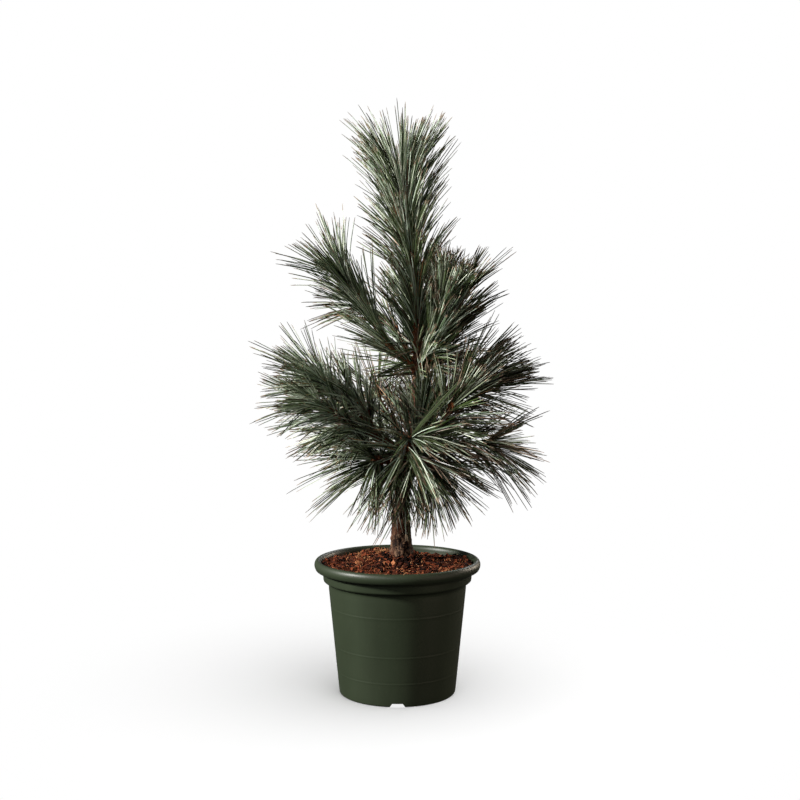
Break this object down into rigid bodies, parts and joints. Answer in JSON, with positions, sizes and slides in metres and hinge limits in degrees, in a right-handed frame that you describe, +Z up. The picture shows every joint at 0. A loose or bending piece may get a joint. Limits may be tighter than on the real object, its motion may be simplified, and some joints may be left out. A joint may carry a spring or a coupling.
{
  "type": "potted limber pine",
  "caption": "Young limber pine with a straight stem, two whorls of boughs and long soft needles, growing in a round rimmed nursery pot.",
  "frame": {"origin": "middle of the pot's flat underside, on the surface it stands on", "axes": "+Z up along the pot's axis; the view of the picture looks along +Y, with +X to its right"},
  "size_m": [0.3447, 0.3474, 0.6688],
  "materials": {
    "pot": "satin",
    "soil": "matte",
    "bark": "matte",
    "needles": "matte"
  },
  "bodies": {
    "root": {"pot": "pot", "pot_rim": "pot", "soil": "soil", "trunk": "bark", "bough_lower_left": "bark", "bough_lower_front": "bark", "bough_lower_right": "bark", "bough_lower_right_rising": "bark", "bough_lower_back_left": "bark", "bough_lower_back": "bark", "bough_upper_left": "bark", "bough_upper_right": "bark", "bough_upper_back": "bark", "bough_lower_left_under": "bark", "bough_lower_right_under": "bark", "bough_lower_back_under": "bark", "bough_lower_left_back": "bark", "bough_upper_front": "bark", "bough_upper_back_right": "bark", "bough_upper_back_left": "bark", "needles_leader_top": "needles", "needles_leader_low": "needles", "needles_upper_left": "needles", "needles_upper_right": "needles", "needles_upper_front": "needles", "needles_upper_back_right": "needles", "needles_upper_back_left": "needles", "needles_upper_back": "needles", "needles_lower_left_tip": "needles", "needles_lower_left_inner": "needles", "needles_lower_left_side": "needles", "needles_lower_left_under": "needles", "needles_lower_front": "needles", "needles_lower_right": "needles", "needles_lower_right_rising": "needles", "needles_lower_right_back": "needles", "needles_lower_right_under": "needles", "needles_lower_back_left": "needles", "needles_lower_back": "needles", "needles_lower_back_under": "needles", "needles_lower_left_back": "needles"}
  },
  "joints": []
}
